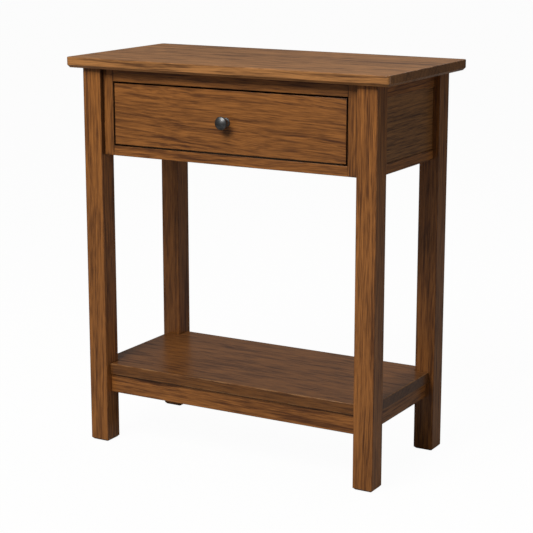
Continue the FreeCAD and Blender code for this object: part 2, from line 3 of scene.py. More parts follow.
import bmesh
import bpy
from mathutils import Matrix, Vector


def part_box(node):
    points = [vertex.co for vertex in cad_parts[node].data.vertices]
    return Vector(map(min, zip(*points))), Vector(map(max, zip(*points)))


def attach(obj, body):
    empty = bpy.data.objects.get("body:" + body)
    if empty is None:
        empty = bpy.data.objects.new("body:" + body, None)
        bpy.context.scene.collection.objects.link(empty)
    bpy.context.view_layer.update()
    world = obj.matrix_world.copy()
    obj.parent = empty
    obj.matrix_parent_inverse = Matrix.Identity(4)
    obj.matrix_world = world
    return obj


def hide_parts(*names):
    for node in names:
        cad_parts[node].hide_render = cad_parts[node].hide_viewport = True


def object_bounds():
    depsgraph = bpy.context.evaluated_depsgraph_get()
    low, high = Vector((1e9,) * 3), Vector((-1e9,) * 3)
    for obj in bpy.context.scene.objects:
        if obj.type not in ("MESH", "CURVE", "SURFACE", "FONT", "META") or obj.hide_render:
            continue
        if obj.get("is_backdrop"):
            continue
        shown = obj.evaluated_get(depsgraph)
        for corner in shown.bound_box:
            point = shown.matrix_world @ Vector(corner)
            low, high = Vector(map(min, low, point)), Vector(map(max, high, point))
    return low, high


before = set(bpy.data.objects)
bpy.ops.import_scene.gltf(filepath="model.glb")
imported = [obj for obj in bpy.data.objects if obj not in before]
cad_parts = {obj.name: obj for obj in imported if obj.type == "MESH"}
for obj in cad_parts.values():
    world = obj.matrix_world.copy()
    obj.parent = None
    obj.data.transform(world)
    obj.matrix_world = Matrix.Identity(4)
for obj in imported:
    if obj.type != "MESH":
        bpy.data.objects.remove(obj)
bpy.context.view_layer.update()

# ------------------------------------------------------------------ camera
# A long lens at chest height, in front of the table's right corner.
# It looks at the middle of the open bay, a little below the drawer.

aim = Vector((0, 0.0061, 0.358))
azimuth = math.radians(29.715)
elevation = math.radians(12.776)
distance = 3.1836

camera = bpy.data.objects.new("camera", bpy.data.cameras.new("camera"))
bpy.context.scene.collection.objects.link(camera)
camera.data.lens = 110.79
camera.data.sensor_width = 36
camera.rotation_euler = (math.pi / 2 - elevation, 0, azimuth)
level = distance * math.cos(elevation)
rise = distance * math.sin(elevation)
camera.location = aim + Vector((level * math.sin(azimuth), -level * math.cos(azimuth), rise))
bpy.context.scene.camera = camera

# ------------------------------------------------------------------ floor and light
# A plain white studio floor that runs out of sight, under a pale even sky.
# A large softbox stands high in front, one hangs high behind, and a faint one stands low on the right.


def add_node(tree, kind, sockets=None, **settings):
    """One node with its settings. A socket, by name or number, takes a value or another socket."""
    node = tree.nodes.new(kind)
    for name, value in settings.items():
        setattr(node, name, value)
    for key, value in (sockets or {}).items():
        feed(tree, node.inputs[key], value)
    return node


def feed(tree, socket, value):
    """Links a socket to another one, or gives it a value."""
    if isinstance(value, bpy.types.NodeSocket):
        tree.links.new(value, socket)
    else:
        socket.default_value = value


def empty_material(name):
    """A material with no nodes yet, and its node tree."""
    material = bpy.data.materials.new(name)
    material.use_nodes = True
    material.node_tree.nodes.clear()
    return material, material.node_tree


def paper_floor(half):
    """A white floor that shows almost no shadow, and gives back little light."""
    glow = 1.1
    shadow_share = 0.12
    corners = [(-half, -half, 0), (half, -half, 0), (half, half, 0), (-half, half, 0)]
    mesh = bpy.data.meshes.new("studio_floor")
    mesh.from_pydata(corners, [], [(0, 1, 2, 3)])
    paper, tree = empty_material("white paper")
    seen = add_node(tree, "ShaderNodeLightPath").outputs["Is Camera Ray"]
    matte = add_node(tree, "ShaderNodeBsdfDiffuse", {"Color": (0.3, 0.3, 0.3, 1)}).outputs[0]
    bright = add_node(tree, "ShaderNodeEmission", {"Strength": glow}).outputs[0]
    pale = add_node(tree, "ShaderNodeMixShader", {0: shadow_share, 1: bright, 2: matte}).outputs[0]
    look = add_node(tree, "ShaderNodeMixShader", {0: seen, 1: matte, 2: pale}).outputs[0]
    add_node(tree, "ShaderNodeOutputMaterial", {"Surface": look})
    mesh.materials.append(paper)
    floor = bpy.data.objects.new("studio_floor", mesh)
    bpy.context.scene.collection.objects.link(floor)
    return floor


def studio_sky(light):
    """An even pale room, which shows as plain white behind the table."""
    sky = bpy.data.worlds.new("studio")
    sky.use_nodes = True
    tree = sky.node_tree
    tree.nodes.clear()
    seen = add_node(tree, "ShaderNodeLightPath").outputs["Is Camera Ray"]
    room = add_node(tree, "ShaderNodeBackground", {"Color": (1, 0.97, 0.93, 1), "Strength": light}).outputs[0]
    white = add_node(tree, "ShaderNodeBackground", {"Color": (1, 1, 1, 1), "Strength": 0.99}).outputs[0]
    look = add_node(tree, "ShaderNodeMixShader", {0: seen, 1: room, 2: white}).outputs[0]
    add_node(tree, "ShaderNodeOutputWorld", {"Surface": look})
    return sky


def softbox(name, place, width, watts, color):
    """A square area light that faces the table."""
    lamp = bpy.data.lights.new(name, "AREA")
    lamp.size = width
    lamp.energy = watts
    lamp.color = color
    box = bpy.data.objects.new(name, lamp)
    box.location = place
    box.rotation_euler = (aim - Vector(place)).to_track_quat("-Z", "Y").to_euler()
    bpy.context.scene.collection.objects.link(box)


paper_floor(half=45)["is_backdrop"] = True
bpy.context.scene.world = studio_sky(light=0.12)
bpy.context.scene.view_settings.view_transform = "Standard"
softbox("key_softbox", (-0.2, -2.3, 2.8), width=1.5, watts=74, color=(1, 0.97, 0.92))
softbox("over_softbox", (0.3, 1.7, 2.7), width=1.3, watts=17, color=(1, 0.98, 0.96))
softbox("side_softbox", (2.7, 0.3, 0.3), width=1.2, watts=4.5, color=(1, 0.98, 0.95))

# ------------------------------------------------------------------ legs
# Four square posts in plain-sawn hardwood, stained mid brown and lacquered satin.
# Each is planed from one length, with its arrises eased and a chamfer round the foot.


def group_tree(name, takes, gives):
    """An empty shader group with named inputs and outputs."""
    group = bpy.data.node_groups.new(name, "ShaderNodeTree")
    for label, kind, value in takes:
        socket = group.interface.new_socket(name=label, in_out="INPUT", socket_type="NodeSocket" + kind)
        socket.default_value = value
    for label, kind in gives:
        group.interface.new_socket(name=label, in_out="OUTPUT", socket_type="NodeSocket" + kind)
    return group, group.nodes.new("NodeGroupInput").outputs, group.nodes.new("NodeGroupOutput").inputs


def maths(tree, operation, *values):
    """A Math node's result."""
    return add_node(tree, "ShaderNodeMath", dict(enumerate(values)), operation=operation).outputs[0]


def vector_maths(tree, operation, *values):
    """A Vector Math node's result."""
    node = add_node(tree, "ShaderNodeVectorMath", dict(enumerate(values)), operation=operation)
    return node.outputs["Value" if operation in ("LENGTH", "DOT_PRODUCT") else "Vector"]


def span(tree, value, low, high, to_low=0.0, to_high=1.0):
    """Value moved smoothly from one range to another, and held at its ends."""
    sockets = {"Value": value, "From Min": low, "From Max": high, "To Min": to_low, "To Max": to_high}
    return add_node(tree, "ShaderNodeMapRange", sockets, interpolation_type="SMOOTHSTEP").outputs["Result"]


def mix_color(tree, share, first, second):
    """Two colours mixed."""
    sockets = {0: share, 6: first, 7: second}
    return add_node(tree, "ShaderNodeMix", sockets, data_type="RGBA").outputs[2]


def streaks(tree, place, along, across, detail):
    """Noise drawn out along the grain, from its scales along and across it, per metre."""
    spread = vector_maths(tree, "MULTIPLY", place, (along, across, across))
    sockets = {"Vector": spread, "Scale": 1.0, "Detail": detail, "Roughness": 0.55}
    return add_node(tree, "ShaderNodeTexNoise", sockets).outputs


def swing(tree, noise, amount):
    """Noise moved to swing about nothing, over a range this wide."""
    return maths(tree, "MULTIPLY", maths(tree, "SUBTRACT", noise, 0.5), amount)


def grain_group():
    """Sawn timber with its grain along X and the tree's heart on the X axis: rings, streaks and pores."""
    takes = [
        ("Place", "Vector", (0, 0, 0)),
        ("End Cut", "Float", 0.0),
        ("Ring Width", "Float", 0.006),
        ("Wave", "Float", 0.012),
        ("Figure", "Float", 1.0),
        ("Stave Width", "Float", 20.0),
        ("Stave Contrast", "Float", 0.0),
        ("Ring Contrast", "Float", 0.6),
        ("Streak Contrast", "Float", 0.6),
        ("Early Wood", "Color", (0.4, 0.2, 0.1, 1)),
        ("Late Wood", "Color", (0.1, 0.05, 0.02, 1)),
    ]
    gives = [("Color", "Color"), ("Depth", "Float"), ("Height", "Float")]
    group, take, give = group_tree("sawn grain", takes, gives)

    # boards glued edge to edge: each stave comes from another part of the tree
    across = add_node(group, "ShaderNodeSeparateXYZ", {0: take["Place"]}).outputs["Y"]
    count = maths(group, "DIVIDE", across, take["Stave Width"])
    stave = maths(group, "FLOOR", maths(group, "ADD", count, 0.5))
    dice = add_node(group, "ShaderNodeTexWhiteNoise", {"W": stave}, noise_dimensions="1D").outputs
    shift = vector_maths(group, "SUBTRACT", dice["Color"], (0.5, 0.5, 0.5))
    shift = vector_maths(group, "MULTIPLY", shift, (3, 0.16, 0.05))
    place = vector_maths(group, "ADD", take["Place"], shift)

    # the trunk's slow bow, and the ripple of its fibres
    slow = streaks(group, place, along=2.4, across=9, detail=1)["Color"]
    quick = streaks(group, place, along=10, across=60, detail=2)["Color"]
    bow = vector_maths(group, "SUBTRACT", slow, (0.5, 0.5, 0.5))
    ripple = vector_maths(group, "SUBTRACT", quick, (0.5, 0.5, 0.5))
    drift = vector_maths(group, "ADD", bow, vector_maths(group, "MULTIPLY", ripple, (0.08, 0.08, 0.08)))
    wave = add_node(group, "ShaderNodeCombineXYZ", {1: take["Wave"], 2: take["Wave"]}).outputs[0]
    bent = vector_maths(group, "ADD", place, vector_maths(group, "MULTIPLY", drift, wave))

    # streaks from a hand's breadth of tone down to single pores
    figure = add_node(group, "ShaderNodeCombineXYZ", {0: 1.0, 1: take["Figure"], 2: 1.0}).outputs[0]
    drawn = vector_maths(group, "MULTIPLY", bent, figure)
    tone = streaks(group, place, along=1.3, across=18, detail=2)["Fac"]
    patch = streaks(group, place, along=5, across=26, detail=2)["Fac"]
    band = streaks(group, drawn, along=4, across=105, detail=3)["Fac"]
    fibre = streaks(group, drawn, along=10, across=250, detail=3)["Fac"]
    hair = streaks(group, drawn, along=24, across=620, detail=2)["Fac"]
    tick = streaks(group, drawn, along=40, across=1100, detail=1)["Fac"]

    # each ring darkens slowly and ends sharply, and no two years are alike
    radius = vector_maths(group, "LENGTH", vector_maths(group, "MULTIPLY", bent, (0, 1, 1)))
    turns = maths(group, "ADD", maths(group, "DIVIDE", radius, take["Ring Width"]), swing(group, band, 0.7))
    year = maths(group, "FLOOR", turns)
    luck = add_node(group, "ShaderNodeTexWhiteNoise", {"W": year}, noise_dimensions="1D").outputs["Value"]
    age = maths(group, "FRACT", turns)
    late = maths(group, "MULTIPLY", span(group, age, 0.5, 0.92), span(group, age, 1.0, 0.95))
    late = maths(group, "MULTIPLY", late, span(group, luck, 0.0, 1.0, 0.2, 1.0))
    late = maths(group, "MULTIPLY", late, span(group, patch, 0.35, 0.62, 0.3, 1.0))
    pores = maths(group, "MULTIPLY", span(group, tick, 0.56, 0.68), span(group, late, 0.0, 0.7, 0.6, 1.0))

    # how deep the stain sits at each spot: more on an end cut, which drinks it and hides the figure
    end_figure = 0.3
    end_depth = 0.4
    streak = maths(group, "MULTIPLY", span(group, band, 0.52, 0.64), take["Streak Contrast"])
    for noise, amount in ((fibre, 2.0), (hair, 2.3)):
        streak = maths(group, "ADD", streak, swing(group, noise, amount))
    streak = maths(group, "MULTIPLY", streak, span(group, take["End Cut"], 0.0, 1.0, 1.0, end_figure))
    depth = maths(group, "ADD", maths(group, "MULTIPLY", late, take["Ring Contrast"]), streak)
    depth = maths(group, "ADD", depth, swing(group, tone, 0.6))
    depth = maths(group, "ADD", depth, maths(group, "MULTIPLY", take["End Cut"], end_depth))
    chance = maths(group, "MULTIPLY", maths(group, "SUBTRACT", dice["Value"], 0.5), take["Stave Contrast"])
    depth = maths(group, "ADD", depth, chance)
    color = mix_color(group, span(group, depth, -0.65, 1.1), take["Early Wood"], take["Late Wood"])
    color = mix_color(group, maths(group, "MULTIPLY", pores, 0.5), color, take["Late Wood"])

    # pores are open and late wood stands a little proud
    raised = maths(group, "MULTIPLY", fibre, 0.5)
    height = maths(group, "SUBTRACT", raised, maths(group, "MULTIPLY", pores, 0.8))
    height = maths(group, "ADD", height, maths(group, "MULTIPLY", late, 0.3))
    group.links.new(color, give["Color"])
    group.links.new(depth, give["Depth"])
    group.links.new(height, give["Height"])
    return group


def wear_and_light_group():
    """A band along a squared board's arrises that takes its edge colour, and where old polish has darkened
    it.
    """
    takes = [
        ("Place", "Vector", (0, 0, 0)),
        ("Low", "Vector", (0, 0, 0)),
        ("High", "Vector", (1, 1, 1)),
        ("Reach", "Float", 0.002),
    ]
    group, take, give = group_tree("arris wear and light", takes, [("Wear And Light", "Float"), ("Grime", "Float")])
    from_low = vector_maths(group, "SUBTRACT", take["Place"], take["Low"])
    from_high = vector_maths(group, "SUBTRACT", take["High"], take["Place"])
    inside = vector_maths(group, "MINIMUM", from_low, from_high)
    near = add_node(group, "ShaderNodeSeparateXYZ", {0: inside}).outputs
    least = maths(group, "MINIMUM", near["X"], near["Y"])
    most = maths(group, "MAXIMUM", near["X"], near["Y"])
    arris = maths(group, "MAXIMUM", least, maths(group, "MINIMUM", most, near["Z"]))
    ragged = add_node(group, "ShaderNodeTexNoise", {"Vector": take["Place"], "Scale": 45.0}).outputs["Fac"]
    reach = maths(group, "MULTIPLY", take["Reach"], span(group, ragged, 0.3, 0.7, 0.3, 1.8))
    sockets = {"Vector": take["Place"], "Scale": 9.0, "Detail": 4.0}
    blotch = add_node(group, "ShaderNodeTexNoise", sockets).outputs["Fac"]
    dark = maths(group, "MULTIPLY", span(group, blotch, 0.45, 0.75), span(group, arris, 0.03, 0.0, 0.35, 1.0))
    group.links.new(span(group, arris, reach, 0.0), give["Wear And Light"])
    group.links.new(dark, give["Grime"])
    return group


sawn_grain = grain_group()
arris_wear_and_light = wear_and_light_group()
STAIN_LIGHT = (0.53, 0.205, 0.05, 1)
STAIN_DARK = (0.115, 0.036, 0.008, 1)
# near black, painted on as shade in gaps and deep corners
PAINTED_SHADE_DARK = (0.022, 0.01, 0.0045, 1)

# each axis as a direction, and the turn that lays it along X
RUN = {"X": Vector((1, 0, 0)), "Y": Vector((0, 1, 0)), "Z": Vector((0, 0, 1))}
TURN = {"X": Vector((0, 0, 0)), "Y": Vector((0, 0, -math.pi / 2)), "Z": Vector((0, math.pi / 2, 0))}


def shade(color, tone):
    """A colour made lighter or darker."""
    return (*[min(1.0, c * tone) for c in color[:3]], 1)


def timber(name, box, run, heart, tone=1.0, light=STAIN_LIGHT, dark=STAIN_DARK, ring=0.0065, wave=0.014,
           rings=0.55, bands=0.55, stave=20.0, staves=0.0, gloss=0.36, lacquer=0.3, edge=None, reach=0.0016,
           shut="", figure=1.0, lean=0.0, corner=None):
    """Timber for a board in this box, with its grain along run, under a satin lacquer.

    heart is how far the tree's heart lies from the board's middle, in the two directions across the grain.
    ring is the width of a year, wave how far the rings bow, and stave the width of one glued stave. rings,
    bands and staves are how strongly the rings, the streaks and the staves show. figure spaces the streaks
    out across Y when under 1, and lean tips them off the board's length. gloss is the smoothest roughness.
    edge is the colour along the arrises, as far in as reach. shut names the axes whose faces meet a
    neighbour across a gap; those faces are painted dark, as the shade in the gap. corner is a direction and a
    level: faces that way above that level are painted dark, as the shade deep beside another board.
    """
    grime_share = 0.16
    wear_and_light_share = 0.55
    gap_shade_share = 0.9
    corner_shade_share = 0.8
    blur = 0.004
    rougher = 0.16
    rougher_grime = 0.08
    light = shade(light, tone)
    dark = shade(dark, tone)
    low, high = box
    middle = (low + high) / 2
    turned_middle = {
        "X": middle,
        "Y": Vector((middle.y, -middle.x, middle.z)),
        "Z": Vector((middle.z, middle.y, -middle.x)),
    }
    material, tree = empty_material(name)
    inside = add_node(tree, "ShaderNodeTexCoord").outputs
    offset = -turned_middle[run] - Vector((0, *heart))
    turned = TURN[run] + Vector((0, lean, 0))
    sockets = {"Vector": inside["Object"], "Location": offset, "Rotation": turned}
    place = add_node(tree, "ShaderNodeMapping", sockets)
    facing = maths(tree, "ABSOLUTE", vector_maths(tree, "DOT_PRODUCT", inside["Normal"], RUN[run]))
    grain = add_node(tree, "ShaderNodeGroup", node_tree=sawn_grain)
    takes = {
        "Place": place.outputs[0],
        "End Cut": span(tree, facing, 0.5, 0.9),
        "Ring Width": ring,
        "Wave": wave,
        "Figure": figure,
        "Stave Width": stave,
        "Stave Contrast": staves,
        "Ring Contrast": rings,
        "Streak Contrast": bands,
        "Early Wood": light,
        "Late Wood": dark,
    }
    for key, value in takes.items():
        feed(tree, grain.inputs[key], value)
    arris_masks = add_node(tree, "ShaderNodeGroup", node_tree=arris_wear_and_light)
    for key, value in {"Place": inside["Object"], "Low": low, "High": high, "Reach": reach}.items():
        feed(tree, arris_masks.inputs[key], value)
    wear_and_light, grime = arris_masks.outputs
    color = mix_color(tree, maths(tree, "MULTIPLY", grime, grime_share), grain.outputs["Color"], dark)
    # the edge colour along the arrises: dark stain on most pieces, a painted highlight on the shelf, and on
    # the stiles painted shade as well
    color = mix_color(tree, maths(tree, "MULTIPLY", wear_and_light, wear_and_light_share), color, edge or shade(dark, 0.8))
    # faces that look across a gap are painted dark: painted shade in the gap
    for axis in shut:
        facing = maths(tree, "ABSOLUTE", vector_maths(tree, "DOT_PRODUCT", inside["Normal"], RUN[axis]))
        color = mix_color(tree, span(tree, facing, 0.8, 0.98, 0.0, gap_shade_share), color, PAINTED_SHADE_DARK)
    # faces that look in beside another board, above a level, are painted dark: painted shade deep in the
    # corner
    if corner:
        inward, level = corner
        turned_in = span(tree, vector_maths(tree, "DOT_PRODUCT", inside["Normal"], inward), 0.7, 0.95)
        height = add_node(tree, "ShaderNodeSeparateXYZ", {0: inside["Object"]}).outputs["Z"]
        above = span(tree, height, level - blur, level + blur, 0.0, corner_shade_share)
        color = mix_color(tree, maths(tree, "MULTIPLY", turned_in, above), color, PAINTED_SHADE_DARK)
    rough = span(tree, grain.outputs["Depth"], -0.2, 1.1, gloss, gloss + rougher)
    rough = maths(tree, "ADD", rough, maths(tree, "MULTIPLY", grime, rougher_grime))
    sockets = {"Height": grain.outputs["Height"], "Strength": 0.22, "Distance": 0.0006}
    bump = add_node(tree, "ShaderNodeBump", sockets)
    shader = add_node(tree, "ShaderNodeBsdfPrincipled", {
        "Base Color": color,
        "Roughness": rough,
        "Normal": bump.outputs[0],
        "IOR": 1.45,
        "Coat Weight": lacquer,
        "Coat Roughness": 0.24,
    })
    add_node(tree, "ShaderNodeOutputMaterial", {"Surface": shader.outputs[0]})
    return material


def post_tree():
    """A square post: a rounded square carried up a line, and drawn in at the foot."""
    tree = bpy.data.node_groups.new("square post", "GeometryNodeTree")
    takes = {
        "Width": "Float", "Arris": "Float", "Chamfer": "Float", "Foot": "Vector", "Height": "Float",
        "Timber": "Material",
    }
    for label, kind in takes.items():
        tree.interface.new_socket(name=label, in_out="INPUT", socket_type="NodeSocket" + kind)
    tree.interface.new_socket(name="Post", in_out="OUTPUT", socket_type="NodeSocketGeometry")
    take = tree.nodes.new("NodeGroupInput").outputs
    square = add_node(tree, "GeometryNodeCurvePrimitiveQuadrilateral", {0: take["Width"], 1: take["Width"]})
    sockets = {"Curve": square.outputs[0], "Radius": take["Arris"], "Count": 4}
    eased = add_node(tree, "GeometryNodeFilletCurve", sockets, mode="POLY")

    # the spine: ring 0 is the foot, ring 1 the top of its chamfer, and the rest climb evenly
    rings = 26
    line = add_node(tree, "GeometryNodeCurvePrimitiveLine")
    line = add_node(tree, "GeometryNodeResampleCurve", {"Curve": line.outputs[0], "Count": rings})
    index = add_node(tree, "GeometryNodeInputIndex").outputs[0]
    share = maths(tree, "DIVIDE", maths(tree, "SUBTRACT", index, 1.0), rings - 2.0)
    shaft = maths(tree, "SUBTRACT", take["Height"], take["Chamfer"])
    climb = maths(tree, "ADD", take["Chamfer"], maths(tree, "MULTIPLY", share, shaft))
    first = maths(tree, "LESS_THAN", index, 0.5)
    level = maths(tree, "MULTIPLY", climb, maths(tree, "SUBTRACT", 1.0, first))
    lift = add_node(tree, "ShaderNodeCombineXYZ", {2: level}).outputs[0]
    spine = vector_maths(tree, "ADD", take["Foot"], lift)
    line = add_node(tree, "GeometryNodeSetPosition", {"Geometry": line.outputs[0], "Position": spine})

    # the square is smaller at the foot by the chamfer on each side
    pinch = maths(tree, "DIVIDE", maths(tree, "MULTIPLY", take["Chamfer"], 2.0), take["Width"])
    girth = maths(tree, "SUBTRACT", 1.0, maths(tree, "MULTIPLY", first, pinch))
    sockets = {"Curve": line.outputs[0], "Profile Curve": eased.outputs[0], "Scale": girth, "Fill Caps": True}
    post = add_node(tree, "GeometryNodeCurveToMesh", sockets)
    whole = add_node(tree, "GeometryNodeRealizeInstances", {0: post.outputs[0]})
    sockets = {"Geometry": whole.outputs[0], "Material": take["Timber"]}
    finished = add_node(tree, "GeometryNodeSetMaterial", sockets)
    feed(tree, tree.nodes.new("NodeGroupOutput").inputs[0], finished.outputs[0])
    return tree


def grow(name, tree, values, start=None):
    """Runs a Geometry Nodes tree once and keeps its result as a plain mesh object."""
    seed = bpy.data.objects.new(name + "_start", start or bpy.data.meshes.new(name + "_start"))
    bpy.context.scene.collection.objects.link(seed)
    modifier = seed.modifiers.new(tree.name, "NODES")
    modifier.node_group = tree
    for socket in tree.interface.items_tree:
        if socket.in_out == "INPUT" and socket.name in values:
            modifier[socket.identifier] = values[socket.name]
    evaluated = seed.evaluated_get(bpy.context.evaluated_depsgraph_get())
    mesh = bpy.data.meshes.new_from_object(evaluated)
    seed.modifiers.clear()
    bpy.data.objects.remove(seed)
    mesh.name = name
    piece = bpy.data.objects.new(name, mesh)
    bpy.context.scene.collection.objects.link(piece)
    return piece


def settle(piece, body, nodes, crease=40):
    """Shades a piece by its true faces, fixes it to its body and hides the plain solids it stands for."""
    piece.data.shade_smooth()
    piece.data.set_sharp_from_angle(angle=math.radians(crease))
    weighted = piece.modifiers.new("weighted normals", "WEIGHTED_NORMAL")
    weighted.keep_sharp = True
    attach(piece, body)
    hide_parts(*nodes)


square_post = post_tree()

# where the heart lies in each leg, and its tone; the back pair are darker as painted shade, since they stand
# back under the top
LEG_CUTS = {
    "leg_front_left": ((0.055, 0.03), 0.93),
    "leg_front_right": ((-0.05, -0.045), 0.97),
    "leg_back_left": ((0.09, 0.06), 0.69),
    "leg_back_right": ((0.1, 0.05), 0.78),
}
apron_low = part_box("front_bottom_rail")[0].z
for node, (heart, tone) in LEG_CUTS.items():
    low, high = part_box(node)
    centre = (low + high) / 2
    inward = Vector((-math.copysign(1, centre.x), 0, 0))
    # the face that looks in towards the stile is painted dark above the apron's lower edge: painted shade
    # between leg and stile
    wood = timber(node + " timber", (low, high), "Z", heart, tone, ring=0.0075, rings=0.5, bands=0.42,
                  corner=(inward, apron_low))
    post = grow(node.replace("leg", "post"), square_post, {
        "Width": high.x - low.x,
        "Arris": 0.0015,
        "Chamfer": 0.0035,
        "Foot": (centre.x, centre.y, low.z),
        "Height": high.z - low.z,
        "Timber": wood,
    })
    settle(post, "table", [node])

# ------------------------------------------------------------------ table top
# Staves of the same timber glued edge to edge, planed to 20 mm and rounded at the corners.
# A bevel under the edge makes the top look thinner, and its upper arris is eased by hand.


def slab(name, outline, profile):
    """A flat board: outline(inset) gives the points of its edge, profile its insets and levels from below."""
    shape = bmesh.new()
    loops = [[shape.verts.new((x, y, z)) for x, y in outline(inset)] for inset, z in profile]
    for lower, upper in zip(loops, loops[1:]):
        for i in range(len(lower)):
            j = (i + 1) % len(lower)
            shape.faces.new((lower[i], lower[j], upper[j], upper[i]))
    shape.faces.new(reversed(loops[0]))
    shape.faces.new(loops[-1])
    mesh = bpy.data.meshes.new(name)
    shape.to_mesh(mesh)
    shape.free()
    piece = bpy.data.objects.new(name, mesh)
    bpy.context.scene.collection.objects.link(piece)
    return piece


def quarter_round(radius, z, steps=4):
    """Insets and levels of an eased upper arris that ends at z."""
    turns = [math.pi / 2 * i / steps for i in range(steps + 1)]
    return [(radius * (1 - math.cos(t)), z - radius * (1 - math.sin(t))) for t in turns]


def top_outline(inset):
    """A rectangle with rounded corners, drawn in by inset."""
    low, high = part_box("table_top")
    corner_r = 0.008
    steps = 8
    points = []
    for side_x, side_y, start in ((1, -1, -0.5), (1, 1, 0), (-1, 1, 0.5), (-1, -1, 1)):
        centre = (side_x * (high.x - corner_r), side_y * (high.y - corner_r))
        for i in range(steps + 1):
            turn = math.pi * (start + 0.5 * i / steps)
            reach = corner_r - inset
            points.append((centre[0] + reach * math.cos(turn), centre[1] + reach * math.sin(turn)))
    return points


# greyer, paler colours: painted light. On the top they stand in for the pale sheen seen at a grazing angle,
# on the side panels for cool light on the shaded sides
SHEEN_GREY_LIGHT = (0.53, 0.238, 0.077, 1)
SHEEN_GREY_DARK = (0.088, 0.033, 0.0105, 1)

low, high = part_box("table_top")
bevel = 0.005
arris_r = 0.0015
profile = [(bevel, low.z), (0.0, low.z + bevel)] + quarter_round(arris_r, high.z)
board = slab("top_board", top_outline, profile)
board.data.materials.append(timber(
    "top timber", (low, high), "X", (0.03, -0.05), 1.15, SHEEN_GREY_LIGHT, SHEEN_GREY_DARK, ring=0.012, wave=0.02,
    rings=0.35, bands=0.5, stave=0.084, staves=0.3, figure=0.5,
))
settle(board, "table", ["table_top"])

# ------------------------------------------------------------------ shelf
# One glued board, notched round the legs and eased along its edges, resting on the stretchers.
# It carries the same stain, painted darker as shade, because light seldom reaches it.


def shelf_outline(inset):
    """A rectangle notched at its corners, drawn in by inset."""
    low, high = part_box("shelf_board")
    leg_low, leg_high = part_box("leg_front_right")
    gap = 0.0015
    out_x = high.x - inset
    out_y = high.y - inset
    in_x = leg_low.x - gap - inset
    in_y = -leg_high.y - gap - inset
    quarter = [(in_x, -out_y), (in_x, -in_y), (out_x, -in_y)]
    points = list(quarter)
    points += [(x, -y) for x, y in reversed(quarter)]
    points += [(-x, -y) for x, y in quarter]
    points += [(-x, y) for x, y in reversed(quarter)]
    return points


# a pale band along the shelf's arrises: a painted highlight
ARRIS_HIGHLIGHT = (0.55, 0.29, 0.12, 1)

low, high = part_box("shelf_board")
under_r = 0.0008
arris_r = 0.0015
profile = [(under_r, low.z), (0.0, low.z + under_r)] + quarter_round(arris_r, high.z)
board = slab("shelf", shelf_outline, profile)
board.data.materials.append(timber(
    "shelf timber", (low, high), "X", (0.02, -0.06), 0.54, ring=0.012, wave=0.02, rings=0.3, bands=0.3,
    stave=0.095, staves=0.12, gloss=0.3, lacquer=0.45, edge=ARRIS_HIGHLIGHT, figure=0.4,
))
settle(board, "table", ["shelf_board"])

# ------------------------------------------------------------------ rails, stiles, panels and stretchers
# Planed boards joined into the legs: the face frame round the drawer, the panelled sides,
# the plain back apron, and the four stretchers that carry the shelf. Their arrises are sanded soft.


def eased(name, node, arris, shortest=0.012):
    """A joinery piece with its outside arrises eased. Inside corners and edges under shortest stay as cut."""
    shape = bmesh.new()
    shape.from_mesh(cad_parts[node].data)
    bmesh.ops.remove_doubles(shape, verts=shape.verts, dist=1e-6)
    bmesh.ops.dissolve_limit(shape, angle_limit=math.radians(1), verts=shape.verts, edges=shape.edges)
    mesh = bpy.data.meshes.new(name)
    shape.to_mesh(mesh)
    shape.free()
    if mesh.has_custom_normals:
        mesh.attributes.remove(mesh.attributes["custom_normal"])
    mesh.materials.clear()
    soft = mesh.attributes.new("bevel_weight_edge", "FLOAT", "EDGE")
    shape = bmesh.new()
    shape.from_mesh(mesh)
    shape.edges.ensure_lookup_table()
    for edge in shape.edges:
        corner = edge.is_manifold and edge.is_convex and edge.calc_face_angle() > math.radians(60)
        soft.data[edge.index].value = 1.0 if corner and edge.calc_length() > shortest else 0.0
    shape.free()
    piece = bpy.data.objects.new(name, mesh)
    bpy.context.scene.collection.objects.link(piece)
    bevel = piece.modifiers.new("eased arrises", "BEVEL")
    bevel.limit_method = "WEIGHT"
    bevel.width = arris
    bevel.segments = 3
    return piece


# each board's grain, where its heart lies, its tone, and the axes on which it faces the drawer's gap, where
# it is painted dark as shade
BOARDS = {
    # the top rail's lower tone is painted shade, under the top's overhang
    "front_top_rail": ("X", (0.05, 0.035), 0.82, "Z"),
    "front_bottom_rail": ("X", (0.06, -0.03), 0.95, "Z"),
    "front_stile_left": ("Z", (0.05, 0.03), 0.85, "X"),
    "front_stile_right": ("Z", (0.045, -0.04), 0.85, "X"),
    "side_rail_upper_left": ("Y", (0.04, 0.05), 1, ""),
    "side_rail_upper_right": ("Y", (-0.04, 0.05), 1, ""),
    "side_panel_left": ("Y", (0.07, 0.04), 0.9, ""),
    "side_panel_right": ("Y", (-0.07, 0.04), 0.9, ""),
    "side_rail_lower_left": ("Y", (0.05, -0.03), 1, ""),
    "side_rail_lower_right": ("Y", (-0.05, -0.03), 1, ""),
    "back_apron": ("X", (-0.06, 0.05), 1, ""),
    "stretcher_front": ("X", (0.045, 0.004), 1, ""),
    "stretcher_back": ("X", (-0.05, 0.02), 1, ""),
    "stretcher_left": ("Y", (0.05, 0.03), 0.85, ""),
    "stretcher_right": ("Y", (-0.05, 0.03), 0.85, ""),
}
